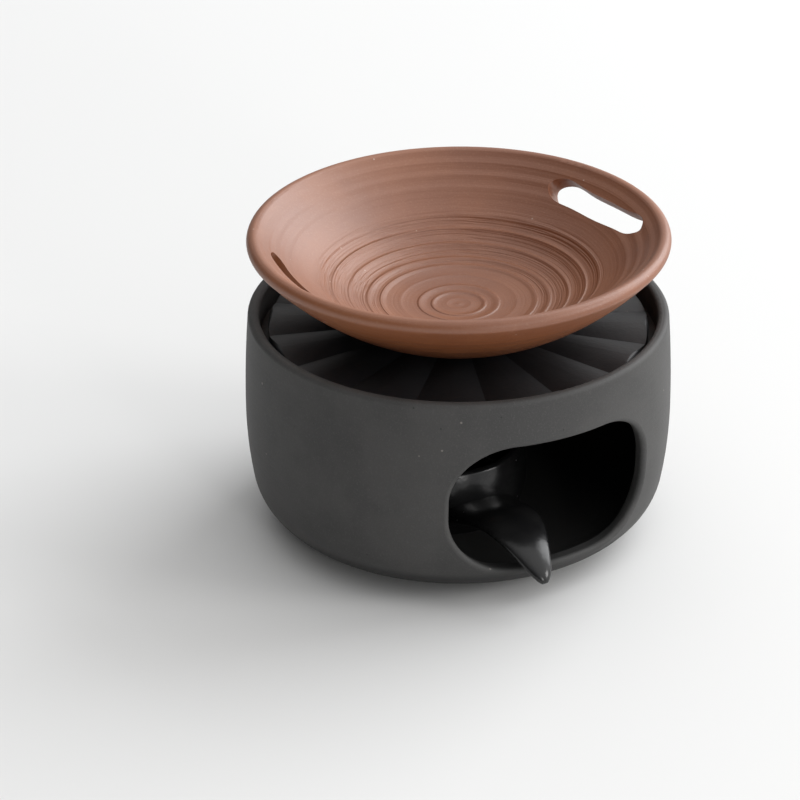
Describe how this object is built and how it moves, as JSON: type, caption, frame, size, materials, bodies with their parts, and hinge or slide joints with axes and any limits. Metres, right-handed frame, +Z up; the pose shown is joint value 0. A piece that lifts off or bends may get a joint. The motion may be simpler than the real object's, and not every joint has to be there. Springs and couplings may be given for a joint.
{
  "type": "teapot warmer",
  "caption": "Round stoneware stove with a front window, a loose lobed heat plate, a candle holder with a tongue handle, and a flared roasting dish on top.",
  "frame": {"origin": "middle of the stove's flat underside", "axes": "+Z up, -Y towards the stove's window, +X to the right seen from the window"},
  "size_m": [0.1255, 0.1319, 0.0906],
  "materials": {
    "black_stoneware": "matte",
    "black_glaze": "satin",
    "red_clay": "matte"
  },
  "bodies": {
    "root": {"stove_body": "black_stoneware", "heat_plate": "black_glaze", "candle_holder": "black_glaze", "roasting_dish": "red_clay"}
  },
  "joints": []
}
